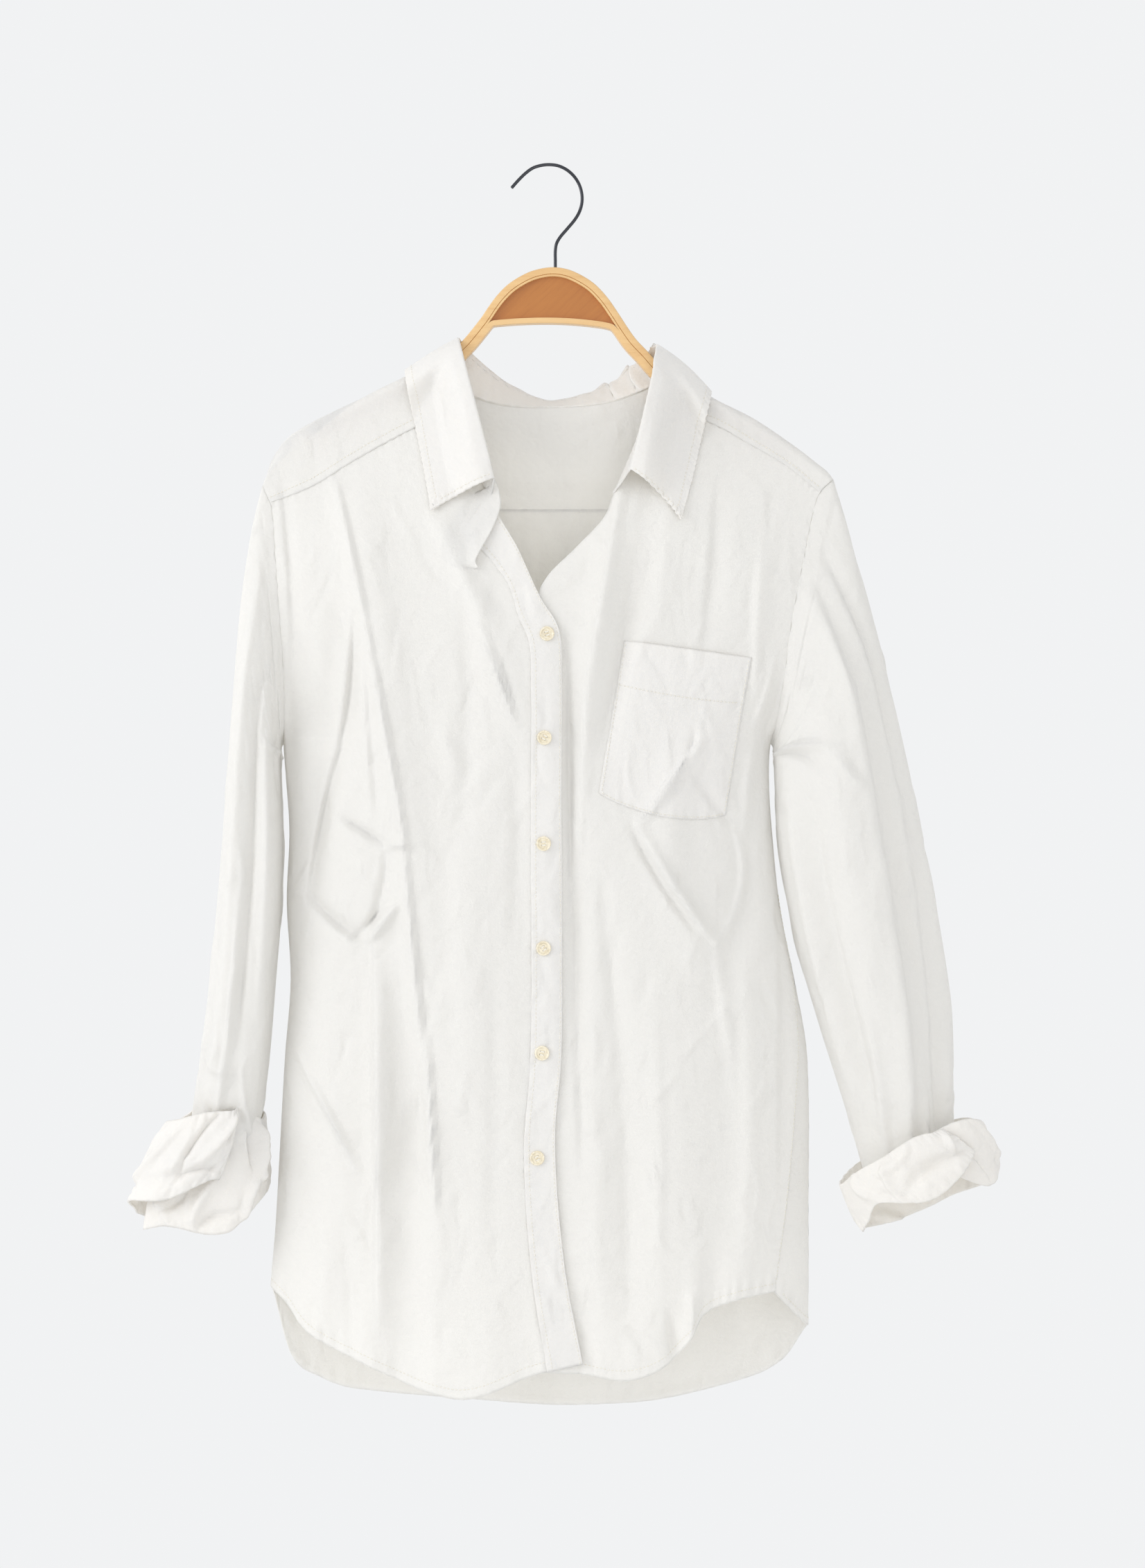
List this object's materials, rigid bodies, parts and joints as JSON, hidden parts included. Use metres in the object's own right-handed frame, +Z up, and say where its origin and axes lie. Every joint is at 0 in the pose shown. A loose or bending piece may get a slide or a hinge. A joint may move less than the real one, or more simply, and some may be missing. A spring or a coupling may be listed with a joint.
{
  "type": "crumpled blouse on a clothes hanger",
  "caption": "White cotton shirt-blouse with long turned-back sleeves, collar open and front buttoned, hanging creased on a bent-wood hanger with a wire hook.",
  "frame": {"origin": "inside top of the hanger's hook, where a rail or line holds it", "axes": "+Z up, +X to the viewer's right as the front is seen, -Y out of the front"},
  "size_m": [0.6644, 0.1026, 0.9696],
  "materials": {
    "cotton": "plain-woven white cotton, washed and creased",
    "wood": "bent laminated wood, clear satin varnish",
    "veneer": "thin veneered panel, clear satin varnish",
    "steel": "bright plated wire",
    "pearl": "moulded pearl-cream button"
  },
  "bodies": {
    "root": {"front_lapped": "cotton", "front_under": "cotton", "back": "cotton", "yoke": "cotton", "collar_stand": "cotton", "collar": "cotton", "sleeve_left": "cotton", "sleeve_right": "cotton", "cuff_left": "cotton", "cuff_right": "cotton", "placket": "cotton", "pocket": "cotton", "button_1": "pearl", "button_2": "pearl", "button_3": "pearl", "button_4": "pearl", "button_5": "pearl", "button_6": "pearl", "hanger_bow": "wood", "hanger_arm_left": "wood", "hanger_arm_right": "wood", "hanger_rail": "wood", "hanger_panel": "veneer", "hanger_hook": "steel"}
  },
  "joints": []
}
